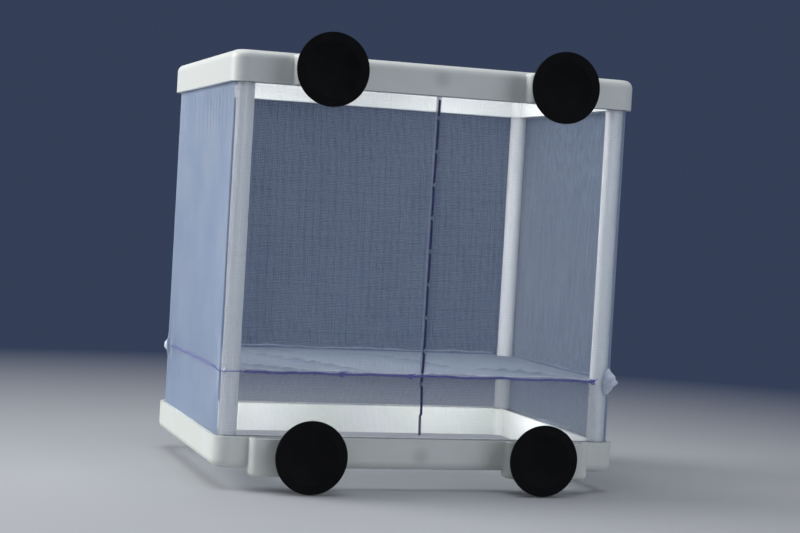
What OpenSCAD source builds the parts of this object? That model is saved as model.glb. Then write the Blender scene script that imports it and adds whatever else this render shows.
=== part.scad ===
// Net breeding box that hangs on the inside of an aquarium pane.
// Two moulded frames stand apart on four hollow posts. A bag of fine net is drawn over
// the posts and tucked into the frames, and four suction cups hold the front of both
// frames to the glass.
// The glass is the plane y = 0, x runs to the right, z runs up, and the origin lies
// on the glass, midway between the four cups.

/* [Frames] */
// Width of a frame
frame_w = 165; // [120:1:220]
// Depth of a frame, without its cup lugs
frame_d = 120; // [90:1:160]
// Height of the box, from the flat of one frame to the flat of the other
box_h = 158; // [110:1:200]
// Height of a frame's walls
frame_h = 12; // [11:0.5:16]
// Thickness of the outer wall
wall_t = 1.6; // [1.4:0.1:1.8]
// Thickness of the inner wall
inner_wall_t = 1.6; // [1.4:0.1:2]
// Thickness of the web that joins the walls
web_t = 1.8; // [1.5:0.1:2.4]
// Width of the groove that takes the hem of the net
groove_w = 4; // [3.8:0.1:4.4]
// Rounding of the frame's outer edge
edge_r = 3.2; // [1:0.1:3.2]

/* [Cup lugs] */
// Distance from the middle of the box to a cup
cup_x = 47; // [35:1:50]
// How far a lug reaches from its cup towards the middle of the box
lug_in = 12.5; // [10:0.5:18]
// How far an upper lug reaches from its cup towards the corner
top_lug_out = 12.5; // [10:0.5:24]
// How far a lower lug reaches from its cup towards the corner
bottom_lug_out = 22; // [10:0.5:24]
// How far a lug stands in front of the frame
lug_proud = 5.4; // [5.2:0.1:7]
// How far a lower lug drops past the flat of its frame
lug_drop = 2.4; // [1.6:0.1:4]
// Thickness of a lug's front plate
plate_t = 2; // [1.6:0.1:2.4]
// Radius of the hole for a cup's neck
cup_hole_r = 3.1; // [2.6:0.1:3.6]

/* [Suction cups] */
// Radius of a cup's lip
cup_r = 14; // [12:0.5:15]
// Height of a cup, from the glass to the lug
cup_h = 6.5; // [6:0.1:9]
// Gap round the neck, where a cup turns in its hole
neck_gap = 0.05; // [0.02:0.01:0.08]

/* [Posts] */
// Radius of a post
post_r = 3.5; // [3.4:0.05:3.6]
// Distance from a frame's outer face to the middle of a post
post_inset = 6.5; // [6.4:0.05:6.6]
// Radius of the spigot inside a post
spigot_r = 2; // [1.8:0.05:2]
// How far a spigot reaches into its post
spigot_l = 12; // [6:0.5:15]
// Gap between a spigot and its post
spigot_gap = 0.05; // [0.02:0.01:0.08]

/* [Net] */
// Thickness of the cloth
cloth_t = 0.4; // [0.3:0.05:0.4]
// Height of the net's floor over the flat of the lower frame
floor_z = 36.5; // [30:0.5:60]
// Openings across the front and the rear of the net, an even count
end_openings = 10; // [4:2:12]
// Openings across its left and right side
side_openings = 7; // [3:1:10]
// Rows of openings above the floor
upper_rows = 8; // [4:1:10]
// Rows of openings below the floor
lower_rows = 2; // [1:1:3]
// Width of the cloth left between two openings
mesh_band = 4; // [3:0.2:6]
// Height of the hem
hem_h = 3.4; // [2.4:0.1:4]
// Radius of the elastic inside the hem
elastic_r = 0.7; // [0.5:0.05:0.75]
// Length of one stitch of the upright seam
stitch_l = 11; // [5:0.5:12]
// Distance from one stitch to the next
stitch_pitch = 13; // [12.5:0.5:16]

/* [Hidden] */
$fn = 64;
eps = 0.5;

// Places: the frame's front face, its middle and the two levels of the frames
front_y = cup_h + lug_proud;
mid_y = front_y + frame_d / 2;
flat_z = box_h / 2;
open_z = flat_z - frame_h;
post_x = frame_w / 2 - post_inset;
post_dy = frame_d / 2 - post_inset;
post_l = 2 * open_z;
seam_z = -flat_z + floor_z;

// Frame: the groove lies between the two walls, and the boss carries a post's end
groove_depth = frame_h - web_t;
groove_in = wall_t + groove_w;
window_in = groove_in + inner_wall_t;
boss_r = post_r + 0.6;
spigot_tip = 0.8;

// Cup lugs: hollow blocks in front of the frame. An upper one ends just short of the flat
lug_end_r = 3;
lug_edge_r = 1.5;
lug_short = 0.5;
lug_roof_t = 1.2;
lug_d = lug_proud + edge_r + lug_edge_r;
top_lug_h = frame_h - lug_short;
bottom_lug_h = frame_h + lug_drop;
slot_w = lug_proud - plate_t;
hole_z = frame_h / 2;
cup_z = open_z + hole_z;

// Suction cup: shallow dome, hub, neck through the plate and button behind it
lip_t = 0.9;
lip_flat = 3.5;
dome_h = cup_h - 0.5;
dome_rise = dome_h - lip_t;
dome_r = (cup_r * cup_r + dome_rise * dome_rise) / (2 * dome_rise);
hollow_r = cup_r - lip_flat;
hollow_h = 1.8;
hollow_ball_r = (hollow_r * hollow_r + hollow_h * hollow_h) / (2 * hollow_h);
hub_r = 5.2;
seat_gap = 0.1;
button_r = 3.9;
button_h = slot_w - 0.6;
button_edge_r = 0.9;

// Net, measured outwards from a post's axis: the cloth runs round outside the posts
cloth_in = post_r + 0.6;
cloth_out = cloth_in + cloth_t;
hem_in = spigot_r + 0.3;
hem_z = flat_z - web_t - 0.3;
cloth_z = hem_z - hem_h;
hem_fold = 0.6;
casing_r = elastic_r + 0.1;
elastic_run = (hem_in + cloth_out) / 2;
lap_w = 2.4;
thread_r = 0.35;
seam_r = 0.6;
knot_r = 1.1;
knot_back = 4.6;
tuck_out = cloth_out + 1.9;
tuck_h = 9;
tuck_angle = 64;
touch = 0.02;

// ---- plan outlines and sweeps ----

// Rounded rectangle of the frame's plan, drawn in by a distance
module plan(inset, r) {
    w = frame_w - 2 * inset;
    d = frame_d - 2 * inset;
    rounded_rect(w, d, r);
}

module rounded_rect(w, d, r) {
    square([w - 2 * r, d], center = true);
    square([w, d - 2 * r], center = true);
    for (sx = [-1, 1], sy = [-1, 1])
        translate([sx * (w / 2 - r), sy * (d / 2 - r)])
            circle(r);
}

// Slab of a rounded plan with its upper outer edge rounded too
module soft_slab(w, d, h, plan_r, round_r) {
    core_w = w - 2 * plan_r;
    core_d = d - 2 * plan_r;
    linear_extrude(h)
        square([core_w, core_d], center = true);
    round_core(core_w, core_d)
        edge_section(plan_r, h, round_r);
}

// Section from the slab's core to its outer face
module edge_section(reach, h, round_r) {
    square([reach, h - round_r]);
    square([reach - round_r, h]);
    translate([reach - round_r, h - round_r])
        circle(round_r);
}

// Sweeps a section round a rectangle; its x is the distance from the rectangle
module round_core(core_w, core_d) {
    for (turn = [0, 180])
        rotate([0, 0, turn]) {
            along_edge(core_w / 2, core_d)
                children();
            rotate([0, 0, 90])
                along_edge(core_d / 2, core_w)
                    children();
        }
    round_corners(core_w, core_d, 0, 90)
        children();
}

module along_edge(out, length) {
    translate([out, length / 2, 0])
        rotate([90, 0, 0])
            linear_extrude(length)
                children();
}

// Turns a section about the rectangle's corners, between two angles of each quarter
module round_corners(core_w, core_d, from, to) {
    for (corner = [[1, 1, 0], [-1, 1, 90], [-1, -1, 180], [1, -1, 270]])
        translate([corner[0] * core_w / 2, corner[1] * core_d / 2, 0])
            rotate([0, 0, corner[2] + from])
                rotate_extrude(angle = to - from)
                    children();
}

// Puts its children at each post's axis
module at_posts() {
    for (sx = [-1, 1], sy = [-1, 1])
        translate([sx * post_x, sy * post_dy])
            children();
}

// ---- frames ----

// One frame with its groove open at z = 0 and its flat on top
module frame_moulding(lug_out, lug_h) {
    lug_l = lug_in + lug_out;
    lug_x = cup_x + (lug_out - lug_in) / 2;
    difference() {
        union() {
            soft_slab(frame_w, frame_d, frame_h, post_inset, edge_r);
            on_front_face(lug_x)
                translate([0, lug_d / 2 - lug_proud, 0])
                    soft_slab(lug_l, lug_d, lug_h, lug_end_r, lug_edge_r);
        }
        net_groove();
        window();
        on_front_face(lug_x)
            button_slot(lug_l, lug_h);
        on_front_face(cup_x)
            translate([0, -lug_proud - eps, hole_z])
                rotate([-90, 0, 0])
                    cylinder(h = plate_t + 2 * eps, r = cup_hole_r);
    }
    at_posts()
        spigot();
}

// Groove for the hem, between the outer and the inner wall
module net_groove() {
    translate([0, 0, -eps])
        linear_extrude(groove_depth + eps)
            difference() {
                plan(wall_t, post_inset - wall_t);
                plan(groove_in, 1);
                at_posts()
                    circle(spigot_r);
            }
}

// Puts its children on the frame's front face, to the left and right of the middle
module on_front_face(x) {
    for (sx = [-1, 1])
        translate([sx * x, -frame_d / 2, 0])
            children();
}

// Slot behind a lug's plate, where the cup's button sits
module button_slot(lug_l, lug_h) {
    translate([0, -slot_w / 2, -eps])
        linear_extrude(lug_h - lug_roof_t + eps)
            rounded_rect(lug_l - 2 * plate_t, slot_w, 1);
}

// Open middle of the frame, less the bosses at the posts
module window() {
    translate([0, 0, -eps])
        linear_extrude(frame_h + 2 * eps)
            difference() {
                plan(window_in, 1);
                at_posts()
                    circle(boss_r);
            }
}

module spigot() {
    translate([0, 0, -spigot_l + spigot_tip])
        cylinder(h = spigot_l - spigot_tip + groove_depth + eps, r = spigot_r);
    translate([0, 0, -spigot_l])
        cylinder(h = spigot_tip, r1 = spigot_r - spigot_tip / 2, r2 = spigot_r);
}

module top_frame() {
    color([0.83, 0.85, 0.85])
        translate([0, mid_y, open_z])
            frame_moulding(top_lug_out, top_lug_h);
}

// The moulding turned over about the y axis, with longer lugs that drop past its flat
module bottom_frame() {
    color([0.83, 0.85, 0.85])
        translate([0, mid_y, -open_z])
            rotate([0, 180, 0])
                frame_moulding(bottom_lug_out, bottom_lug_h);
}

// ---- posts ----

// Hollow post between the two frames, on a spigot at each end
module post(sx, sy) {
    color([0.78, 0.82, 0.84])
        translate([sx * post_x, mid_y + sy * post_dy, 0])
            difference() {
                cylinder(h = post_l, r = post_r, center = true);
                cylinder(h = post_l + 2 * eps, r = spigot_r + spigot_gap, center = true);
            }
}

// ---- suction cups ----

// Half section of a cup: x from its axis, y from the glass towards the lug
module cup_section() {
    difference() {
        intersection() {
            translate([0, dome_h - dome_r])
                circle(dome_r, $fn = 256);
            square([cup_r, dome_h]);
        }
        translate([0, hollow_h - hollow_ball_r])
            circle(hollow_ball_r, $fn = 256);
    }
    translate([0, hollow_h + 1])
        square([hub_r, cup_h - seat_gap - hollow_h - 1]);
    translate([0, cup_h - 1])
        square([cup_hole_r - neck_gap, plate_t + 2]);
    translate([0, cup_h + plate_t + seat_gap])
        button_section();
}

// Round-edged button that holds the cup behind the plate
module button_section() {
    square([button_r - button_edge_r, button_h]);
    translate([0, button_edge_r])
        square([button_r, button_h - 2 * button_edge_r]);
    for (y = [button_edge_r, button_h - button_edge_r])
        translate([button_r - button_edge_r, y])
            circle(button_edge_r);
}

module suction_cup(sx, sz) {
    color([0.05, 0.05, 0.055])
        translate([sx * cup_x, 0, sz * cup_z])
            rotate([-90, 0, 0])
                rotate_extrude()
                    cup_section();
}

// ---- net ----

// Flat stretch of cloth between two posts. Its fine mesh is a plain grid of openings,
// with a band left at the floor's seam and, on the front, at the upright seam
module net_panel(length, across) {
    translate([cloth_in, 0, 0])
        rotate([90, 0, 90])
            linear_extrude(cloth_t)
                difference() {
                    square([length, 2 * cloth_z], center = true);
                    mesh_openings(length, across, seam_z, open_z, upper_rows);
                    mesh_openings(length, across, -open_z, seam_z, lower_rows);
                }
}

module mesh_openings(length, across, low, high, rows) {
    step_x = length / across;
    step_z = (high - low) / rows;
    for (i = [0 : across - 1], j = [0 : rows - 1])
        translate([(i + 0.5) * step_x - length / 2, low + (j + 0.5) * step_z])
            square([step_x - mesh_band, step_z - mesh_band], center = true);
}

module net_side(sx) {
    color([0.62, 0.67, 0.80])
        translate([0, mid_y, 0])
            rotate([0, 0, sx > 0 ? 0 : 180])
                translate([post_x, 0, 0])
                    net_panel(2 * post_dy, side_openings);
}

module net_end(sy) {
    color([0.56, 0.61, 0.76])
        translate([0, mid_y, 0])
            rotate([0, 0, sy > 0 ? 90 : 270])
                translate([post_dy, 0, 0])
                    net_panel(2 * post_x, end_openings);
}

// The cloth's quarter turns round the four posts
module net_corners() {
    color([0.62, 0.67, 0.80])
        translate([0, mid_y, 0])
            round_corners(2 * post_x, 2 * post_dy, 0, 90)
                translate([cloth_in, -cloth_z])
                    square([cloth_t, 2 * cloth_z]);
}

// Floor panel sewn into the bag, cut out round the posts
module net_floor() {
    color([0.66, 0.71, 0.84])
        translate([0, mid_y, seam_z - cloth_t / 2])
            linear_extrude(cloth_t)
                difference() {
                    plan(post_inset - cloth_in, cloth_in);
                    at_posts()
                        circle(cloth_in + 0.1);
                }
}

// Folded edge of the cloth: a casing with the elastic inside, drawn by its own middle
module hem_section() {
    half = hem_h / 2;
    difference() {
        polygon([
            [hem_in, -half + hem_fold], [hem_in + hem_fold, -half],
            [cloth_out, -half], [cloth_out, half - hem_fold],
            [cloth_out - hem_fold, half], [hem_in + hem_fold, half],
            [hem_in, half - hem_fold]
        ]);
        translate([elastic_run, 0])
            circle(casing_r, $fn = 24);
    }
}

module hem(sz) {
    color([0.60, 0.65, 0.79])
        rotate([0, sz > 0 ? 0 : 180, 0])
            translate([0, mid_y, hem_z - hem_h / 2])
                round_core(2 * post_x, 2 * post_dy)
                    hem_section();
}

module elastic(sz) {
    color([0.90, 0.91, 0.92])
        translate([0, mid_y, sz * (hem_z - hem_h / 2)])
            round_core(2 * post_x, 2 * post_dy)
                translate([elastic_run, 0])
                    circle(elastic_r, $fn = 24);
}

// ---- seams ----

// Places its children on the outer face of the front cloth, at the middle
module on_front_cloth() {
    translate([0, mid_y - post_dy - cloth_out, 0])
        children();
}

// The two ends of the cloth lie over each other behind the front panel
module front_seam_lap() {
    color([0.50, 0.54, 0.70])
        on_front_cloth()
            translate([-lap_w / 2, cloth_t, seam_z + cloth_t])
                cube([lap_w, cloth_t, cloth_z - seam_z - cloth_t]);
}

// Long running stitches of the upright seam, from frame to frame
module front_seam_stitches() {
    count = floor((2 * open_z - stitch_l) / stitch_pitch) + 1;
    run = (count - 1) * stitch_pitch;
    color([0.14, 0.16, 0.36])
        on_front_cloth()
            for (i = [0 : count - 1])
                if (abs(i * stitch_pitch - run / 2 - seam_z) > stitch_l / 2 + 2 * seam_r)
                    translate([0, -thread_r - touch, i * stitch_pitch - run / 2])
                        stitch();
}

module stitch() {
    cylinder(h = stitch_l - 2 * thread_r, r = thread_r, center = true, $fn = 24);
    for (sz = [-1, 1])
        translate([0, 0, sz * (stitch_l / 2 - thread_r)])
            sphere(thread_r, $fn = 24);
}

// Cord of the floor seam along each side, knotted off just before the posts
module floor_seam_cord() {
    color([0.28, 0.28, 0.56])
        translate([0, mid_y, seam_z])
            for (side = [[0, post_x, post_dy], [90, post_dy, post_x],
                         [180, post_x, post_dy], [270, post_dy, post_x]])
                rotate([0, 0, side[0]])
                    translate([side[1] + cloth_out + touch, 0, 0])
                        seam_run(side[2] - knot_back);
}

module seam_run(half) {
    translate([seam_r, 0, 0])
        rotate([90, 0, 0])
            cylinder(h = 2 * half, r = seam_r, center = true, $fn = 24);
    for (s = [-1, 1])
        translate([knot_r, s * half, 0])
            sphere(knot_r, $fn = 24);
}

// Pinched cloth that stands out at the corners, where the floor's tips are drawn through
module corner_tucks() {
    color([0.70, 0.74, 0.85])
        translate([0, mid_y, seam_z])
            round_corners(2 * post_x, 2 * post_dy, 45 - tuck_angle / 2, 45 + tuck_angle / 2)
                polygon([[cloth_out, -tuck_h / 2], [tuck_out, 0], [cloth_out, tuck_h / 2]]);
}

bottom_frame();
top_frame();
post(-1, -1);  // post_front_left
post(1, -1);  // post_front_right
post(-1, 1);  // post_rear_left
post(1, 1);  // post_rear_right
suction_cup(-1, 1);  // suction_cup_top_left
suction_cup(1, 1);  // suction_cup_top_right
suction_cup(-1, -1);  // suction_cup_bottom_left
suction_cup(1, -1);  // suction_cup_bottom_right
net_end(-1);  // net_front
net_end(1);  // net_rear
net_side(-1);  // net_left
net_side(1);  // net_right
net_corners();
net_floor();
hem(1);  // top_hem
hem(-1);  // bottom_hem
elastic(1);  // top_elastic
elastic(-1);  // bottom_elastic
front_seam_lap();
front_seam_stitches();
floor_seam_cord();
corner_tucks();
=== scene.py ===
import math

import bpy
import numpy as np
from mathutils import Matrix, Vector


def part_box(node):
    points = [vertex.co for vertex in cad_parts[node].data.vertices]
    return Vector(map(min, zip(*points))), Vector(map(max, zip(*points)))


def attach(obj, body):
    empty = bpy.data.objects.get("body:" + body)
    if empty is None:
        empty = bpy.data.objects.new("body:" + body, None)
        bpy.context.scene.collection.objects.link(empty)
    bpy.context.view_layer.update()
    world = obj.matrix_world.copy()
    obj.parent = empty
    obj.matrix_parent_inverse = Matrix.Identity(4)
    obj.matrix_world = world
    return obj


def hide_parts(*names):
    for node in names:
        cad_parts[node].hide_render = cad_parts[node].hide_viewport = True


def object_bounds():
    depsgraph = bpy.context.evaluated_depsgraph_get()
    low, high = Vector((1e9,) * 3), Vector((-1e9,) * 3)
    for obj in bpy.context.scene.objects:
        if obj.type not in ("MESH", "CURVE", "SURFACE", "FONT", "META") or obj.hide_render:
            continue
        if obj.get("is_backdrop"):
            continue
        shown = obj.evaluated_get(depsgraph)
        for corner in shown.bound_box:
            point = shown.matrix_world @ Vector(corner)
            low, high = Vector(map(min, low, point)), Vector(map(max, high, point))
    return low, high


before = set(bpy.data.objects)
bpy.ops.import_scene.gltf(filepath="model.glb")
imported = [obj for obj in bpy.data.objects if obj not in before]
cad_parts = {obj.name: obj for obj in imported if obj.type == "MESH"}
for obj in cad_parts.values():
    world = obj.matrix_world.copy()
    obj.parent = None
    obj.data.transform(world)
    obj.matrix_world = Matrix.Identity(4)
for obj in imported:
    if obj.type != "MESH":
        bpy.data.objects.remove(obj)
cad_low, cad_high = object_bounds()
MM = 0.001


# ---- Camera ----
# The box is seen from in front and a little from the left, from barely above its middle,
# and the picture leans by a few degrees.
view_azimuth = math.radians(-17.6)
view_elevation = math.radians(1.9)
view_lean = math.radians(3.3)
view_distance = 770 * MM
view_shift = Vector((6.1, 0, -1.9)) * MM
picture_width_px = 800
focal_length_px = 1830
film_width_mm = 36


def centre(node):
    """Middle of a CAD node's box."""
    low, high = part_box(node)
    return (low + high) / 2


bag_middle = Vector((0, centre("net_left").y, 0))
towards_camera = Vector((
    math.sin(view_azimuth) * math.cos(view_elevation),
    -math.cos(view_azimuth) * math.cos(view_elevation),
    math.sin(view_elevation),
))
camera_data = bpy.data.cameras.new("camera")
camera_data.sensor_width = film_width_mm
camera_data.lens = focal_length_px / picture_width_px * film_width_mm
camera = bpy.data.objects.new("camera", camera_data)
bpy.context.scene.collection.objects.link(camera)
camera.location = bag_middle + view_shift + towards_camera * view_distance
aim = (-towards_camera).to_track_quat("-Z", "Y").to_matrix().to_4x4()
camera.rotation_euler = (aim @ Matrix.Rotation(view_lean, 4, "Z")).to_euler()
bpy.context.scene.camera = camera


# ---- Frames ----
# The upper and the lower frame are the same white moulding, with a channel for the hem,
# a spigot at each corner and two lugs for the cups. Its gate left a faint spot in front.
frame_white = (0.70, 0.725, 0.715)
upper_shade = (0.62, 0.655, 0.635)
# The lower frame's deeper patches are darker and greener than the upper frame's: random tone plus painted
# shade and a painted green reflection on the same white moulding.
lower_tone_painted_shade_and_reflection = (0.58, 0.63, 0.54)
gate_colour = (0.47, 0.50, 0.50)
gate_radius = 4.5 * MM
gate_core = 0.3 * gate_radius
gate_strength = 0.6
gate_rise = 6.5 * MM
post_inset = 6.5 * MM
open_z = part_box("post_front_left")[1].z


def new_group(name, inputs, outputs):
    """Empty shader node group with named inputs and outputs, and its two end nodes."""
    group = bpy.data.node_groups.new(name, "ShaderNodeTree")
    for label, kind, value in inputs:
        socket = group.interface.new_socket(label, in_out="INPUT", socket_type=kind)
        if value is not None:
            socket.default_value = value
    for label, kind in outputs:
        group.interface.new_socket(label, in_out="OUTPUT", socket_type=kind)
    given = group.nodes.new("NodeGroupInput")
    result = group.nodes.new("NodeGroupOutput")
    return group, given, result


def add_node(tree, kind, **settings):
    node = tree.nodes.new("ShaderNode" + kind)
    for key, value in settings.items():
        setattr(node, key, value)
    return node


def join(tree, source, target):
    tree.links.new(source, target)


def remap(tree, value, low, high, to_low, to_high):
    """Carries a value from one range to another and keeps it inside."""
    node = add_node(tree, "MapRange", clamp=True)
    join(tree, value, node.inputs["Value"])
    node.inputs["From Min"].default_value = low
    node.inputs["From Max"].default_value = high
    node.inputs["To Min"].default_value = to_low
    node.inputs["To Max"].default_value = to_high
    return node.outputs["Result"]


def mix_colour(tree, share, first, second):
    """Mixes two colours, each given as a socket or as a plain value."""
    first_input, second_input, colour_output = 6, 7, 2
    node = add_node(tree, "Mix", data_type="RGBA")
    for number, value in (("Factor", share), (first_input, first), (second_input, second)):
        if isinstance(value, bpy.types.NodeSocket):
            join(tree, value, node.inputs[number])
        else:
            node.inputs[number].default_value = value
    return node.outputs[colour_output]


def sized_noise(tree, place, size, detail, roughness):
    """Noise with lumps of about the size that a socket gives."""
    scale = add_node(tree, "Math", operation="DIVIDE")
    scale.inputs[0].default_value = 1
    join(tree, size, scale.inputs[1])
    noise = add_node(tree, "TexNoise")
    noise.inputs["Detail"].default_value = detail
    noise.inputs["Roughness"].default_value = roughness
    join(tree, place, noise.inputs["Vector"])
    join(tree, scale.outputs[0], noise.inputs["Scale"])
    return noise.outputs["Fac"]


def tone_group():
    """Soft patches of a deeper colour in a colour."""
    patch_low, patch_high = 0.35, 0.7
    group, given, result = new_group(
        "uneven tone",
        [("Colour", "NodeSocketColor", None), ("Deeper Colour", "NodeSocketColor", None),
         ("Patch Size", "NodeSocketFloat", 20 * MM), ("Amount", "NodeSocketFloat", 0.5)],
        [("Colour", "NodeSocketColor"), ("Mask", "NodeSocketFloat")],
    )
    place = add_node(group, "TexCoord")
    noise = sized_noise(
        group, place.outputs["Object"], given.outputs["Patch Size"], detail=4, roughness=0.55)
    patches = remap(group, noise, patch_low, patch_high, 0, 1)
    share = add_node(group, "Math", operation="MULTIPLY")
    join(group, patches, share.inputs[0])
    join(group, given.outputs["Amount"], share.inputs[1])
    toned = mix_colour(group, share.outputs[0], given.outputs["Colour"], given.outputs["Deeper Colour"])
    join(group, toned, result.inputs["Colour"])
    join(group, patches, result.inputs["Mask"])
    return group


def grain_group():
    """Height of a fine grain, which may be drawn out along an axis."""
    group, given, result = new_group(
        "fine grain",
        [("Grain Size", "NodeSocketFloat", 0.5 * MM), ("Stretch", "NodeSocketVector", (1, 1, 1))],
        [("Height", "NodeSocketFloat")],
    )
    place = add_node(group, "TexCoord")
    stretch = add_node(group, "VectorMath", operation="MULTIPLY")
    join(group, place.outputs["Object"], stretch.inputs[0])
    join(group, given.outputs["Stretch"], stretch.inputs[1])
    noise = sized_noise(
        group, stretch.outputs[0], given.outputs["Grain Size"], detail=2, roughness=0.5)
    join(group, noise, result.inputs["Height"])
    return group


uneven_tone = tone_group()
fine_grain = grain_group()


def place_group(tree, group, **values):
    node = tree.nodes.new("ShaderNodeGroup")
    node.node_tree = group
    for key, value in values.items():
        node.inputs[key.replace("_", " ")].default_value = value
    return node


def rgba(colour):
    return (*colour, 1)


def new_finish(name, colour, deeper, patch, amount, roughness, rougher, grain, depth,
               stretch=(1, 1, 1), **plain):
    """Principled material with an uneven tone and roughness and a fine grain. plain holds
    the values of its other sockets."""
    material = bpy.data.materials.new(name)
    material.use_nodes = True
    tree = material.node_tree
    shader = tree.nodes["Principled BSDF"]
    tone = place_group(
        tree, uneven_tone, Colour=rgba(colour), Deeper_Colour=rgba(deeper), Patch_Size=patch, Amount=amount)
    join(tree, tone.outputs["Colour"], shader.inputs["Base Color"])
    join(tree, remap(tree, tone.outputs["Mask"], 0, 1, roughness, rougher), shader.inputs["Roughness"])
    texture = place_group(tree, fine_grain, Grain_Size=grain, Stretch=stretch)
    bump = add_node(tree, "Bump")
    bump.inputs["Strength"].default_value = 1
    bump.inputs["Distance"].default_value = depth
    join(tree, texture.outputs["Height"], bump.inputs["Height"])
    join(tree, bump.outputs["Normal"], shader.inputs["Normal"])
    for key, value in plain.items():
        shader.inputs[key.replace("_", " ")].default_value = value
    return material


def frame_plastic(name, deeper, gate):
    """White plastic with the faint spot of the gate at a point."""
    plastic = new_finish(
        name, frame_white, deeper, patch=26 * MM, amount=0.6, roughness=0.36, rougher=0.48,
        grain=0.35 * MM, depth=0.012 * MM, Specular_IOR_Level=0.42)
    tree = plastic.node_tree
    base_colour = tree.nodes["Principled BSDF"].inputs["Base Color"]
    tone = base_colour.links[0].from_socket
    place = add_node(tree, "TexCoord")
    off = add_node(tree, "VectorMath", operation="DISTANCE")
    off.inputs[1].default_value = gate
    join(tree, place.outputs["Object"], off.inputs[0])
    spot = remap(tree, off.outputs["Value"], gate_core, gate_radius, gate_strength, 0)
    join(tree, mix_colour(tree, spot, tone, rgba(gate_colour)), base_colour)
    return plastic


def dress(node, material):
    """Gives a CAD node its material."""
    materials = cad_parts[node].data.materials
    materials.clear()
    materials.append(material)


frame_front = centre("post_front_left").y - post_inset
# The lower frame's material carries the painted shade and painted green reflection in its patches.
for node, shade in (("top_frame", upper_shade), ("bottom_frame", lower_tone_painted_shade_and_reflection)):
    gate_level = math.copysign(open_z + gate_rise, centre(node).z)
    dress(node, frame_plastic(node.replace("_", " ") + " plastic", shade, (0, frame_front, gate_level)))


# ---- Posts ----
# Four pieces of white tube, pushed over the spigots of both frames. Drawing the tube
# left fine lines along it.
post_names = ["post_front_left", "post_front_right", "post_rear_left", "post_rear_right"]
post_plastic = new_finish(
    "post plastic", (0.88, 0.91, 0.925), (0.79, 0.83, 0.85), patch=14 * MM, amount=0.5, roughness=0.26,
    rougher=0.36, grain=0.4 * MM, depth=0.02 * MM, stretch=(1, 1, 0.04), Specular_IOR_Level=0.5,
    Subsurface_Weight=0.85, Subsurface_Radius=(1, 1, 1), Subsurface_Scale=7 * MM)
for node in post_names:
    dress(node, post_plastic)


# ---- Walls of the net ----
# One strip of fine knitted net goes round all four posts. It is drawn tight between them,
# bows inwards a little, and creases where the floor's seam pulls at it.
net_yarn = new_finish(
    "net yarn", (0.345, 0.435, 0.60), (0.26, 0.36, 0.565), patch=30 * MM, amount=0.7, roughness=0.42,
    rougher=0.6, grain=0.12 * MM, depth=0.01 * MM, Sheen_Weight=1, Sheen_Roughness=0.35)

upwards = np.array([0.0, 0.0, 1.0])
post_corner = centre("post_rear_right")
half_x = post_corner.x
half_y = post_corner.y - bag_middle.y
wrap_r = centre("net_rear").y - post_corner.y
seam_z = centre("net_floor").z
cloth_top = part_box("net_front")[1].z

# The way round the bag has nine legs, from the front middle to the right: half the front,
# a corner, the right side and so on. A leg's anchor is the post that it starts from.
quarter = math.pi / 2 * wrap_r
legs = np.array([half_x, quarter, 2 * half_y, quarter, 2 * half_x, quarter, 2 * half_y, quarter, half_x])
leg_starts = np.concatenate([[0], np.cumsum(legs)])
girth = leg_starts[-1]
corner_places = leg_starts[[1, 3, 5, 7]] + quarter / 2
leg_turns = np.radians([-90, -90, 0, 0, 90, 90, 180, 180, 270])
leg_bends = np.array([0, 1, 0, 1, 0, 1, 0, 1, 0])
leg_anchors = np.array([(0, -1), (1, -1), (1, -1), (1, 1), (1, 1), (-1, 1), (-1, 1), (-1, -1), (-1, -1)])
leg_anchors = leg_anchors * (half_x, half_y)

# The cloth bows inwards between the posts, the floor's seam draws it in further, and it
# is held out by the posts and the frames
bow_depth = 1.3 * MM
seam_pull = 1.5 * MM
seam_reach = 9 * MM
post_hold = 6
frame_hold = 4 * MM

# At each corner it stands out in an ear, with folds that fan out round it
ear_out = 1.3 * MM
ear_sizes = np.array([1.55, 0.8, 1.0, 0.05])
ear_breadth, ear_height = 3.5 * MM, 3 * MM
fold_depth = 0.3 * MM
folds_round_ear, fold_turn = 7, 0.6
fold_reach, fold_start, fold_clear = 15 * MM, 5 * MM, 6 * MM

# It is gathered a little at the frames and puckered along the upright seam
gather_depth = 0.06 * MM
gather_pitch, gather_reach = 7 * MM, 9 * MM
gather_drift, gather_drift_pitch = 2.2, 61 * MM
pucker_depth, pucker_reach = 0.08 * MM, 5 * MM
stitch_pitch = 13 * MM

# Uprights stand one yarn pitch apart, and courses one course pitch. A width is a yarn's
# breadth over its height
yarn_pitch = 0.47 * MM
course_pitch = 0.6 * MM
yarn_r = 0.08 * MM
upright_width = 0.66
course_width = 0.5
yarn_sides = 3
pitch_stray = 0.09
yarn_stray = 0.045 * MM
stray_lengths = (9.1 * MM, 5.3 * MM)
rng = np.random.default_rng(7)


def new_piece(name, points, faces, material):
    """Smooth mesh that rides on the base."""
    mesh = bpy.data.meshes.new(name)
    mesh.vertices.add(len(points))
    mesh.vertices.foreach_set("co", np.asarray(points, dtype=np.float64).ravel())
    sides = faces.shape[1]
    mesh.loops.add(faces.size)
    mesh.loops.foreach_set("vertex_index", faces.ravel().astype(np.int32))
    mesh.polygons.add(len(faces))
    mesh.polygons.foreach_set("loop_start", np.arange(0, faces.size, sides, dtype=np.int32))
    mesh.polygons.foreach_set("use_smooth", np.full(len(faces), True))
    mesh.update(calc_edges=True)
    mesh.validate()
    mesh.materials.append(material)
    piece = bpy.data.objects.new(name, mesh)
    bpy.context.scene.collection.objects.link(piece)
    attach(piece, "base")
    return piece


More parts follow.
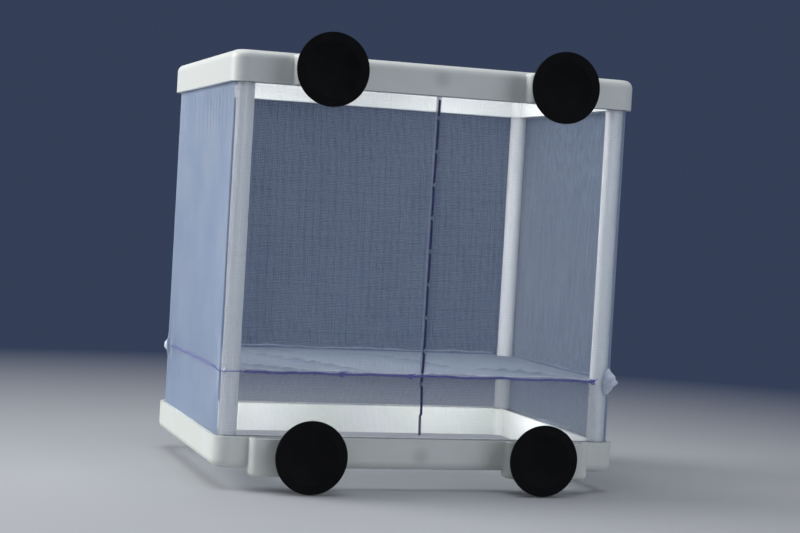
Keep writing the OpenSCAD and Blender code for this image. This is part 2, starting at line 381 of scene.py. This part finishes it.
def tubes(lines, facing, radius, sides, closed=False, width=1.0):
    """Points and faces of tubes along lines of points. facing holds a direction across each
    line, and width is a tube's breadth over its height there."""
    if closed:
        ahead, behind = np.roll(lines, -1, axis=1), np.roll(lines, 1, axis=1)
    else:
        ahead = np.concatenate([lines[:, 1:], lines[:, -1:]], axis=1)
        behind = np.concatenate([lines[:, :1], lines[:, :-1]], axis=1)
    along = ahead - behind
    along /= np.linalg.norm(along, axis=2, keepdims=True)
    across = np.cross(along, facing)
    across /= np.linalg.norm(across, axis=2, keepdims=True)
    up = np.cross(across, along)
    count, length = lines.shape[:2]
    turn = np.arange(sides) * 2 * math.pi / sides
    high, broad = np.cos(turn)[:, None], width * np.sin(turn)[:, None]
    ring = high * up[:, :, None, :] + broad * across[:, :, None, :]
    points = (lines[:, :, None, :] + np.asarray(radius)[..., None, None] * ring).reshape(-1, 3)
    steps = length if closed else length - 1
    line, step, side = np.meshgrid(np.arange(count), np.arange(steps), np.arange(sides), indexing="ij")
    here = line * length * sides + step * sides
    there = line * length * sides + (step + 1) % length * sides
    next_side = (side + 1) % sides
    faces = np.stack([here + side, here + next_side, there + next_side, there + side], axis=-1)
    return points, faces.reshape(-1, 4)


def together(parts):
    """Joins pairs of points and faces into one pair."""
    starts = np.cumsum([0] + [len(points) for points, faces in parts[:-1]])
    return (np.concatenate([points for points, faces in parts]),
            np.concatenate([faces + start for (points, faces), start in zip(parts, starts)]))


def round_bag(s):
    """Goes s metres round the posts from the front middle. Returns the point on the line
    through the posts' axes, the outward direction and the place across the panel, from -1 to 1."""
    s = np.mod(s, girth)
    leg = np.clip(np.searchsorted(leg_starts, s, side="right") - 1, 0, len(legs) - 1)
    done = s - leg_starts[leg]
    turn = leg_turns[leg] + leg_bends[leg] * done / wrap_r
    straight = done * (1 - leg_bends[leg])
    out = np.stack([np.cos(turn), np.sin(turn), np.zeros_like(turn)], axis=-1)
    along = np.stack([-np.sin(turn), np.cos(turn), np.zeros_like(turn)], axis=-1)
    anchor = np.concatenate([leg_anchors[leg], np.zeros((*s.shape, 1))], axis=-1) + np.array(bag_middle)
    share = 2 * done / legs[leg] - 1
    share = np.where(leg == 0, (share + 1) / 2, np.where(leg == len(legs) - 1, (share - 1) / 2, share))
    return anchor + straight[..., None] * along, out, np.where(leg_bends[leg] == 1, 1, share)


def from_corner(s):
    """Distance round the bag to the nearest corner's middle, with its sign, and that
    corner's number."""
    off = np.mod(s[..., None] - corner_places + girth / 2, girth) - girth / 2
    nearest = np.abs(off).argmin(axis=-1)
    return np.take_along_axis(off, nearest[..., None], axis=-1)[..., 0], nearest


def stands_out(s, z):
    """How far the cloth stands out from its straight run round the posts."""
    share = round_bag(s)[2]
    corner, number = from_corner(s)
    above = z - seam_z
    from_frame = open_z - np.abs(z)
    off_posts = 1 - share ** post_hold
    bow = -bow_depth * (1 - share ** 2) * (1 - (z / open_z) ** 2)
    pull = -seam_pull * off_posts * np.exp(-np.abs(above) / seam_reach)
    ear = ear_out * np.minimum(ear_sizes[number], 1)
    ear = ear * np.exp(-(corner / ear_breadth) ** 2 - (above / ear_height) ** 2)
    reach = np.hypot(corner, above)
    folds = fold_depth * np.sin(folds_round_ear * np.arctan2(above, np.abs(corner)) + fold_turn)
    folds = folds * np.exp(-reach / fold_reach)
    folds = folds * (1 - np.exp(-reach / fold_start)) * (1 - np.exp(-(corner / fold_clear) ** 2))
    wave = 2 * math.pi * s / gather_pitch + gather_drift * np.sin(2 * math.pi * s / gather_drift_pitch)
    gather = gather_depth * np.sin(wave) * np.exp(-from_frame / gather_reach) * off_posts
    seam = np.mod(s + girth / 2, girth) - girth / 2
    pucker = pucker_depth * np.cos(2 * math.pi * z / stitch_pitch) * np.exp(-np.abs(seam) / pucker_reach)
    return np.clip(from_frame / frame_hold, 0, 1) * (bow + pull + ear + folds + gather + pucker)


def on_cloth(s, z, above=0.0):
    """Points on the cloth, or above its outer face, and the outward direction there."""
    s, z = np.broadcast_arrays(s, z)
    point, out = round_bag(s)[:2]
    point = point + (wrap_r + stands_out(s, z) + above)[..., None] * out
    point[..., 2] = z
    return point, out


def spaced(count):
    """Places from 0 to 1 at a nearly even pitch."""
    return (np.arange(count) + 0.5 + rng.uniform(-pitch_stray, pitch_stray, count)) / count


def stray(count, along):
    """Sideways wander of a number of yarns at places along them."""
    sways = [np.sin(along / length + rng.uniform(0, 2 * math.pi, (count, 1))) for length in stray_lengths]
    return yarn_stray * sum(sways)


# An upright has more points where the floor's seam draws it in
upper_levels = np.array([1, 0.91, 0.8, 0.55, 0.25, -0.05, -0.33]) * cloth_top
seam_levels = seam_z + np.array([9, 5, 2.6, 1, -1, -2.6, -5, -11]) * MM
lower_levels = np.array([-0.91, -1]) * cloth_top
yarn_levels = np.concatenate([upper_levels, seam_levels, lower_levels])
yarn_count = int(round(girth / yarn_pitch))
yarn_places = np.arange(yarn_count) + rng.uniform(-pitch_stray, pitch_stray, yarn_count)
yarn_places = yarn_places * girth / yarn_count
uprights = on_cloth(yarn_places[:, None] + stray(yarn_count, yarn_levels), yarn_levels[None, :], yarn_r / 2)
upright_yarn = tubes(*uprights, yarn_r, yarn_sides, width=upright_width)

# A course has more points near the posts and near the upright seam
first_stops = np.array([0, 0.03, 0.08, 0.25, 0.5, 0.75, 0.9, 0.96])
panel_stops = np.array([0, 0.025, 0.075, 0.2, 0.375, 0.625, 0.8, 0.925, 0.975])
corner_stops = np.array([0, 0.2, 0.4, 0.6, 0.8])
last_stops = np.array([0, 0.04, 0.1, 0.25, 0.5, 0.75, 0.92, 0.97])
leg_stops = [first_stops, *[corner_stops, panel_stops] * 3, corner_stops, last_stops]
stops = np.concatenate([start + share * leg for start, share, leg in zip(leg_starts, leg_stops, legs)])
course_count = int(round(2 * cloth_top / course_pitch))
course_levels = (2 * spaced(course_count) - 1) * cloth_top
courses = on_cloth(stops[None, :], course_levels[:, None] + stray(course_count, stops), -yarn_r / 2)
course_yarn = tubes(*courses, yarn_r, yarn_sides, closed=True, width=course_width)
net_walls = new_piece("net_walls", *together([upright_yarn, course_yarn]), net_yarn)
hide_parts("net_front", "net_rear", "net_left", "net_right", "net_corners")


# ---- Floor of the net ----
# A second piece of the same net is sewn in as a floor. Its yarn is coloured darker than the walls' yarn, as
# painted shade.
# It is cut out round the posts, sags a little in the middle and keeps the creases that its seam drew into
# it.
floor_net_yarn_painted_shade = new_finish(
    "floor net yarn", (0.26, 0.34, 0.46), (0.20, 0.27, 0.40), patch=30 * MM, amount=0.7, roughness=0.42,
    rougher=0.6, grain=0.12 * MM, depth=0.01 * MM, Sheen_Weight=0.5)
floor_sag = 1.6 * MM
cut_r = wrap_r - 0.1 * MM
crease_width = 3.2 * MM

# Start, end and height of each crease, in millimetres from the floor's middle
creases = (
    ((-52, 40), (-14, -30), 1.5),
    ((8, 50), (34, -8), 1.2),
    ((40, -2), (66, -40), 1.6),
    ((-70, -20), (-40, -48), 1.1),
)


def wall_limit(place, first, second):
    """How far the floor reaches across, at a place along the other way."""
    past = np.abs(place) - second
    open_side = first + wrap_r - seam_pull * (1 - np.clip(place / second, -1, 1) ** post_hold)
    cut = first - np.sqrt(np.clip(cut_r ** 2 - past ** 2, 0, None))
    return np.where(past > -cut_r, cut, open_side)


def floor_level(x, y):
    """Height of the floor, with its sag and its creases."""
    hang = (1 - (x / (half_x + wrap_r)) ** 2) * (1 - (y / (half_y + wrap_r)) ** 2)
    level = seam_z - floor_sag * hang
    for start, end, height in creases:
        start_x, start_y = start[0] * MM, start[1] * MM
        run_x, run_y = end[0] * MM - start_x, end[1] * MM - start_y
        share = ((x - start_x) * run_x + (y - start_y) * run_y) / (run_x * run_x + run_y * run_y)
        off = np.hypot(x - start_x - share * run_x, y - start_y - share * run_y)
        fade = np.clip(4 * share * (1 - share), 0, 1)
        level = level + height * MM * fade * np.exp(-off / crease_width)
    return level


def floor_yarn(first, second, steps, swap, lift):
    """Yarns of the floor in one direction, from wall to wall."""
    reach = second + wrap_r - seam_pull
    count = int(2 * reach / yarn_pitch)
    places = (2 * spaced(count) - 1) * reach
    x = wall_limit(places, first, second)[:, None] * np.linspace(-1, 1, steps)
    y = places[:, None] + stray(count, np.linspace(-first, first, steps))
    if swap:
        x, y = y, x
    lines = np.stack([x, y + bag_middle.y, floor_level(x, y) + lift], axis=-1)
    return tubes(lines, np.broadcast_to(upwards, lines.shape), yarn_r, yarn_sides, width=upright_width)


floor_along = floor_yarn(half_x, half_y, steps=33, swap=False, lift=yarn_r / 2)
floor_across = floor_yarn(half_y, half_x, steps=25, swap=True, lift=-yarn_r / 2)
net_floor = new_piece("net_floor_cloth", *together([floor_along, floor_across]), floor_net_yarn_painted_shade)
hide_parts("net_floor")


# ---- Hems and elastics ----
# The upper and the lower edge of the strip are folded over a round elastic and tucked
# into the frames' channels. The elastic gathers the fold into small ripples.
hem_cloth = new_finish(
    "hem cloth", (0.46, 0.53, 0.70), (0.36, 0.42, 0.62), patch=9 * MM, amount=0.8, roughness=0.55,
    rougher=0.7, grain=0.3 * MM, depth=0.12 * MM, Sheen_Weight=0.3)
braided_elastic = new_finish(
    "braided elastic", (0.80, 0.81, 0.82), (0.70, 0.72, 0.74), patch=5 * MM, amount=0.6, roughness=0.6,
    rougher=0.75, grain=0.25 * MM, depth=0.08 * MM)
hem_steps = 480
hem_places = np.arange(hem_steps) / hem_steps * girth
hem_clearance = 1.8 * MM
ripple_drift, ripple_drift_pitch = 1.7, 47 * MM
squareness = 0.7


def squared(wave):
    """Fills out a wave, so that a round section made with it turns squarish."""
    return np.abs(wave) ** squareness * np.sign(wave)


def round_loop(inner, outer, low, high, sides, ripple, pitch):
    """Closed band round the posts between two distances from their axes and two levels."""
    turn = np.arange(sides) * 2 * math.pi / sides
    point, out = round_bag(hem_places)[:2]
    drift = ripple_drift * np.sin(2 * math.pi * hem_places / ripple_drift_pitch)
    swell = np.minimum(1 + ripple * np.sin(2 * math.pi * hem_places / pitch + drift), 1)
    reach = (inner + outer) / 2 + (outer - inner) / 2 * squared(np.cos(turn)) * swell[:, None]
    points = point[:, None, :] + reach[..., None] * out[:, None, :]
    points[..., 2] = (low + high) / 2 + (high - low) / 2 * squared(np.sin(turn)) * swell[::-1, None]
    step, side = np.meshgrid(np.arange(hem_steps), np.arange(sides), indexing="ij")
    here, there = step * sides, (step + 1) % hem_steps * sides
    next_side = (side + 1) % sides
    faces = np.stack([here + side, there + side, there + next_side, here + next_side], axis=-1)
    return points.reshape(-1, 3), faces.reshape(-1, 4)


edge_pieces = []
for level in ("top", "bottom"):
    low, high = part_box(level + "_hem")
    outer = high.x - half_x
    inner = 2 * wrap_r - outer - hem_clearance
    fold = round_loop(inner, outer, low.z, high.z, sides=14, ripple=0.07, pitch=3.1 * MM)
    hem = new_piece(level + "_hem_fold", *fold, hem_cloth)
    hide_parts(level + "_hem")
    low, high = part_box(level + "_elastic")
    strand_r = (high.z - low.z) / 2
    run = high.x - strand_r - half_x
    band = round_loop(run - strand_r, run + strand_r, low.z, high.z, sides=10, ripple=0.1, pitch=1.4 * MM)
    elastic = new_piece(level + "_elastic_cord", *band, braided_elastic)
    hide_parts(level + "_elastic")
    edge_pieces += [hem, elastic]


# ---- Upright seam ----
# The two ends of the strip lie over each other in the middle of the front and are closed
# with long running stitches of navy two-ply thread, from frame to frame.
navy_thread = new_finish(
    "navy thread", (0.034, 0.042, 0.20), (0.018, 0.022, 0.12), patch=3 * MM, amount=0.8, roughness=0.5,
    rougher=0.7, grain=0.12 * MM, depth=0.05 * MM, Sheen_Weight=0.2)
lap_half = 0.9 * MM
lap_back = -0.45 * MM
lap_shift = 0.3 * course_pitch
lap_yarn_count, lap_level_count = 8, 40
lap_low, lap_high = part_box("front_seam_lap")
lap_places = np.linspace(-lap_half, lap_half, lap_yarn_count)
lap_levels = np.linspace(lap_low.z, lap_high.z, lap_level_count)
lap_up = tubes(*on_cloth(lap_places[:, None], lap_levels[None, :], lap_back), yarn_r, yarn_sides)
lap_courses = course_levels[course_levels > lap_low.z] + lap_shift
lap_stops = np.array([-lap_half, 0, lap_half])
lap_runs = on_cloth(lap_stops[None, :], lap_courses[:, None], lap_back - yarn_r)
lap_across = tubes(*lap_runs, yarn_r, yarn_sides)
seam_lap = new_piece("front_seam_lap_cloth", *together([lap_up, lap_across]), net_yarn)
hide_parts("front_seam_lap")

stitch_length = 11 * MM
stitch_ply = 0.29 * MM
stitch_twist = 1.7 * MM
outside, inside = 0.42 * MM, -0.95 * MM
dive_length = 0.7 * MM
thread_end = open_z - 1.5 * MM
last_stitch = -open_z + 8 * MM
stitch_waves = ((0.05 * MM, 6.3 * MM, 0),)
seam_steps = 900
ply_sides = 6


def waves(places, parts):
    """Sum of sine waves at a row of places. A part is a wave's height, length and phase."""
    return sum(height * np.sin(places / length + phase) for height, length, phase in parts)


def plied(lines, facing, ply_r, twist):
    """Two plies twisted about lines of points, as tubes."""
    along = np.gradient(lines, axis=1)
    step = np.linalg.norm(along, axis=2)
    along /= step[..., None]
    across = np.cross(along, facing)
    across /= np.linalg.norm(across, axis=2, keepdims=True)
    up = np.cross(across, along)
    turn = 2 * math.pi * np.cumsum(step, axis=1)[..., None] / twist
    off = ply_r * (np.cos(turn) * up + np.sin(turn) * across)
    return together([tubes(lines + side * off, off, ply_r, ply_sides) for side in (-1, 1)])


seam_run = np.linspace(-thread_end, thread_end, seam_steps)
from_stitch = np.abs(np.mod(seam_run + stitch_pitch / 2, stitch_pitch) - stitch_pitch / 2)
dives = np.clip((from_stitch - stitch_length / 2 + dive_length / 2) / dive_length, 0, 1)
dives = np.maximum(dives, np.clip((last_stitch - seam_run) / dive_length, 0, 1))
rise = outside + (inside - outside) * dives * dives * (3 - 2 * dives)
stitch_line, stitch_out = on_cloth(waves(seam_run, stitch_waves), seam_run, rise)
stitch_thread = plied(stitch_line[None], stitch_out[None], stitch_ply, stitch_twist)
stitches = new_piece("front_seam_thread", *stitch_thread, navy_thread)
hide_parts("front_seam_stitches")


# ---- Seam of the floor ----
# Thick violet thread runs round the bag where the floor is sewn in, held by small whip
# stitches. It is knotted off before the posts, and at two places where a length ended.
violet_thread = new_finish(
    "violet thread", (0.20, 0.20, 0.58), (0.12, 0.12, 0.42), patch=4 * MM, amount=0.8, roughness=0.45,
    rougher=0.65, grain=0.15 * MM, depth=0.06 * MM, Sheen_Weight=0.3)
side_middles = np.array([0, leg_starts[2] + half_y, leg_starts[4] + half_x, leg_starts[6] + half_y])
knot_back = 4.6 * MM
run_halves = np.array([half_x, half_y, half_x, half_y]) - knot_back
thread_plies = np.array([0.33, 0.22, 0.29, 0.15]) * MM
thread_rise, round_post_rise = 0.75 * MM, 0.5 * MM
thread_twist = 2.3 * MM
thread_step = 0.7 * MM
thread_waves = ((0.14 * MM, 4.1 * MM, 0), (0.06 * MM, 1.7 * MM, 1))
whip_pitch, whip_start, whip_end = 6.2 * MM, 4 * MM, 2 * MM
whip_waves = ((0.5 * MM, 3 * MM, 0),)
whip_lean, whip_reach, whip_rise = 0.7 * MM, 0.9 * MM, 1.4 * MM
whip_share, whip_sides, whip_steps = 0.3, 5, 9
knot_size, knot_thread_r, knot_rise, knot_steps = 0.34 * MM, 0.27 * MM, 1.15 * MM, 48
front_knots = girth - np.array([33, 5]) * MM

# Turn upwards and length of each tail of a knot
tails = ((0.5, 2.2 * MM), (-0.8, 1.6 * MM))
tail_r, tail_lift, tail_steps = 0.2 * MM, 1.6 * MM, 8


def thread_run(start, end, ply_r, above):
    """Two-ply thread along the floor's seam between two places."""
    places = np.linspace(start, end, int((end - start) / thread_step))
    line, out = on_cloth(places, seam_z + waves(places, thread_waves), above)
    return plied(line[None], out[None], ply_r, thread_twist)


thread_parts = []
for middle, half, ply_r in zip(side_middles, run_halves, thread_plies):
    thread_parts.append(thread_run(middle - half, middle + half, ply_r, thread_rise))
    whips = np.arange(middle - half + whip_start, middle + half - whip_end, whip_pitch)
    whips = whips + waves(whips, whip_waves)
    bend = np.linspace(-1, 1, whip_steps)
    hoop = on_cloth(
        whips[:, None] + whip_lean * bend, seam_z + whip_reach * bend, whip_rise * (1 - bend ** 2))
    thread_parts.append(tubes(*hoop, whip_share * ply_r, whip_sides))
round_post = (side_middles[3] + run_halves[3], girth - run_halves[0])
thread_parts.append(thread_run(*round_post, thread_plies[3], round_post_rise))

knot_turn = np.linspace(0, 2 * math.pi, knot_steps, endpoint=False)
knot_loop = knot_size * np.stack([
    np.sin(knot_turn) + 2 * np.sin(2 * knot_turn),
    np.cos(knot_turn) - 2 * np.cos(2 * knot_turn),
    -np.sin(3 * knot_turn),
], axis=-1)
for place in (*(side_middles + run_halves)[:3], *front_knots):
    spot, out = on_cloth(place, seam_z, knot_rise)
    along = np.array([-out[1], out[0], 0])
    knot = spot + knot_loop[:, :1] * along + knot_loop[:, 1:2] * upwards + knot_loop[:, 2:] * out
    facing = np.broadcast_to(out, knot[None].shape)
    thread_parts.append(tubes(knot[None], facing, knot_thread_r, ply_sides, closed=True))
    for tail_turn, tail_length in tails:
        share = np.linspace(0, 1, tail_steps)[:, None]
        aim = along * math.cos(tail_turn) + upwards * math.sin(tail_turn)
        tail = spot + share * tail_length * aim + share * (1 - share) * out * tail_lift
        thread_parts.append(tubes(tail[None], np.broadcast_to(out, tail[None].shape), tail_r, ply_sides))
floor_thread = new_piece("floor_seam_thread", *together(thread_parts), violet_thread)
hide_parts("floor_seam_cord")


# ---- Turned edge of the floor ----
# The floor's edge is rolled outwards just above the thread, and tucked under it on the
# left. The roll is coloured pale with darker patches: a painted glint that catches the light here and
# there.
pale_cloth_painted_glint = new_finish(
    "pale cloth with painted glint", (0.76, 0.81, 0.92), (0.42, 0.49, 0.64), patch=4 * MM, amount=0.9, roughness=0.4,
    rougher=0.6, grain=0.25 * MM, depth=0.1 * MM)
roll_rise, roll_above_seam = 0.45 * MM, 0.95 * MM
roll_waves = ((0.22 * MM, 6.7 * MM, 0), (0.12 * MM, 2.3 * MM, 0))
roll_r, roll_sides = 0.32 * MM, 7
swell_waves = ((0.12 * MM, 3.9 * MM, 1),)
swell_fade = 17 * MM
roll_parts = []
for middle, half in zip(side_middles[:3], run_halves[:3]):
    places = np.linspace(middle - half, middle + half, int(half / MM))
    level = seam_z + roll_above_seam + waves(places, roll_waves)
    swell = waves(places, swell_waves) * np.sin(places / swell_fade)
    line, out = on_cloth(places, level, roll_rise)
    roll_parts.append(tubes(line[None], out[None], (roll_r + swell)[None], roll_sides))
floor_roll = new_piece("floor_rolled_edge", *together(roll_parts), pale_cloth_painted_glint)


# ---- Corner tucks ----
# At each post the floor's tip is drawn out through the seam and pinched into a small
# ear of doubled cloth, coloured pale as a painted highlight.
ear_half = 3.9 * MM
ear_reach = 1.5 * MM
ear_lift = 0.25 * MM
ear_width, ear_taper, least_spread = 2.6 * MM, 0.45, 0.3
ear_lean, lean_step, lean_start = 0.5 * MM, 2.1, 1
crest_sharpness, crest_fall = 2.6, 0.9
doubled_thickness = 0.25 * MM
ear_columns, ear_rows = 15, 19

# Height of each crimp, and its turns across the ear, along it and from ear to ear
ear_crimps = ((0.16 * MM, 9, 3, 1), (0.24 * MM, 5, -10, 2))

share, level = np.meshgrid(np.linspace(-1, 1, ear_columns), np.linspace(-1, 1, ear_rows), indexing="ij")
column, row = np.meshgrid(np.arange(ear_columns - 1), np.arange(ear_rows - 1), indexing="ij")
first = column * ear_rows + row
ear_faces = np.stack([first, first + ear_rows, first + ear_rows + 1, first + 1], axis=-1).reshape(-1, 4)
inner_part = (1 - share ** 2) * (1 - level ** 2)
crest = np.exp(-(share * crest_sharpness) ** 2) * (1 - np.abs(level)) ** crest_fall
ear_parts = []
for number, (place, size) in enumerate(zip(corner_places, ear_sizes)):
    lean = ear_lean * math.sin(lean_step * number + lean_start)
    spread = least_spread + (1 - least_spread) * size
    width = ear_width * spread * (1 - ear_taper * level ** 2)
    crimp = sum(
        height * np.sin(over * share + along * level + onward * number)
        for height, over, along, onward in ear_crimps)
    rise = size * (ear_reach * crest + crimp * inner_part) + ear_lift * inner_part
    point, out = on_cloth(place + share * width + lean * level, seam_z + spread * ear_half * level, rise)
    ear_parts.append((point.reshape(-1, 3), ear_faces))
# The ears take the pale cloth, whose colour is a painted highlight.
tucks = new_piece("corner_tuck_cloth", *together(ear_parts), pale_cloth_painted_glint)
thicken = tucks.modifiers.new("doubled", "SOLIDIFY")
thicken.thickness = doubled_thickness
thicken.offset = -1
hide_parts("corner_tucks")


# ---- Suction cups ----
# Four black rubber cups, each a shallow dome with a neck through its lug's plate and a
# button behind. Their faces are smooth and dull.
cup_rubber = new_finish(
    "cup rubber", (0.006, 0.006, 0.007), (0.010, 0.010, 0.011), patch=6 * MM, amount=0.7, roughness=0.6,
    rougher=0.7, grain=0.3 * MM, depth=0.01 * MM, Specular_IOR_Level=0.05)
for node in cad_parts:
    if node.startswith("suction_cup"):
        dress(node, cup_rubber)


# ---- Studio ----
# A plain pale floor fades into a cool backdrop. The large lamps stand on the left, above
# and in front, and one more in front reaches only the posts.
backdrop_colour = (0.035, 0.05, 0.095)
floor_colour = (0.42, 0.435, 0.46)
ground_reach = 9
ground_gap = 0.4 * MM
fade_middle_y = -0.1
fade_start, fade_end = 0.2, 0.7
ambient_colour = (0.86, 0.91, 1)
ambient_strength = 0.22

ground_z = cad_low.z - ground_gap
corner_signs = ((-1, -1), (1, -1), (1, 1), (-1, 1))
ground_corners = [(x * ground_reach, y * ground_reach, ground_z) for x, y in corner_signs]
ground = bpy.data.meshes.new("studio_floor")
ground.from_pydata(ground_corners, [], [(0, 1, 2, 3)])
studio_floor = bpy.data.objects.new("studio_floor", ground)
bpy.context.scene.collection.objects.link(studio_floor)
floor_finish = bpy.data.materials.new("studio floor")
floor_finish.use_nodes = True
tree = floor_finish.node_tree
shader = tree.nodes["Principled BSDF"]
place = add_node(tree, "TexCoord")
off = add_node(tree, "VectorMath", operation="DISTANCE")
off.inputs[1].default_value = (0, fade_middle_y, ground_z)
join(tree, place.outputs["Object"], off.inputs[0])
far = remap(tree, off.outputs["Value"], fade_start, fade_end, 0, 1)
shader.inputs["Base Color"].default_value = rgba(floor_colour)
shader.inputs["Roughness"].default_value = 0.9
shader.inputs["Specular IOR Level"].default_value = 0.1
glow = add_node(tree, "Emission")
glow.inputs["Color"].default_value = rgba(backdrop_colour)
blend = add_node(tree, "MixShader")
join(tree, far, blend.inputs[0])
join(tree, shader.outputs[0], blend.inputs[1])
join(tree, glow.outputs[0], blend.inputs[2])
join(tree, blend.outputs[0], tree.nodes["Material Output"].inputs["Surface"])
ground.materials.append(floor_finish)
studio_floor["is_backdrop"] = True

world = bpy.data.worlds.new("studio")
bpy.context.scene.world = world
world.use_nodes = True
tree = world.node_tree
rays = add_node(tree, "LightPath")
seen = add_node(tree, "Math", operation="MAXIMUM")
join(tree, rays.outputs["Is Camera Ray"], seen.inputs[0])
join(tree, rays.outputs["Is Transmission Ray"], seen.inputs[1])
ambient = tree.nodes["Background"]
ambient.inputs["Color"].default_value = rgba(ambient_colour)
ambient.inputs["Strength"].default_value = ambient_strength
wall = add_node(tree, "Background")
wall.inputs["Color"].default_value = rgba(backdrop_colour)
pick = add_node(tree, "MixShader")
join(tree, seen.outputs[0], pick.inputs[0])
join(tree, ambient.outputs[0], pick.inputs[1])
join(tree, wall.outputs[0], pick.inputs[2])
join(tree, pick.outputs[0], tree.nodes["World Output"].inputs["Surface"])

lit_frames = bpy.data.collections.new("frames that lamps single out")
lit_posts = bpy.data.collections.new("posts that lamps single out")
for group, nodes in ((lit_frames, ("top_frame", "bottom_frame")), (lit_posts, post_names)):
    for node in nodes:
        group.objects.link(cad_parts[node])


def place_lamp(name, kind, place, power, reached):
    """Lamp at a point. It reaches everything, or only the pieces of a collection."""
    lamp = bpy.data.lights.new(name, kind)
    lamp.energy = power
    lamp_object = bpy.data.objects.new(name, lamp)
    bpy.context.scene.collection.objects.link(lamp_object)
    lamp_object.location = place
    if reached:
        lamp_object.light_linking.receiver_collection = reached
    return lamp, lamp_object


for name, place, size, power, colour, reached in (
    ("key_lamp", (-1.0, 0.42, 0.42), 0.7, 13.5, (1, 0.99, 0.97), None),
    ("top_lamp", (-0.1, 0.05, 1.0), 0.7, 5.5, (1, 1, 1), None),
    ("front_lamp", (0.75, -1.1, 0.35), 0.8, 3.9, (0.88, 0.94, 1), None),
    ("post_lamp", (-0.2, -1.2, 0.1), 0.8, 9, (0.88, 0.95, 1), lit_posts),
):
    lamp, lamp_object = place_lamp(name, "AREA", place, power, reached)
    lamp.size = size
    lamp.color = colour
    lamp_object.rotation_euler = (bag_middle - Vector(place)).to_track_quat("-Z", "Y").to_euler()

# Small lamps inside the bag stand for the light that comes through the cloth. Four reach
# only the frames, and four only the posts.
inner_lamp_r = 12 * MM
for name, reached, (across, back, upward), power in (
    ("frames", lit_frames, (45, 10, 55), 0.085),
    ("posts", lit_posts, (30, 12, 36), 0.05),
):
    for number, (x, z) in enumerate([(x, z) for x in (-across, across) for z in (-upward, upward)]):
        place = bag_middle + Vector((x, back, z)) * MM
        lamp, lamp_object = place_lamp(f"inner_lamp_{name}_{number}", "POINT", place, power, reached)
        lamp.shadow_soft_size = inner_lamp_r
        lamp_object.visible_camera = False
        lamp_object.visible_glossy = False

bpy.context.scene.view_settings.view_transform = "Standard"

low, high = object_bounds()
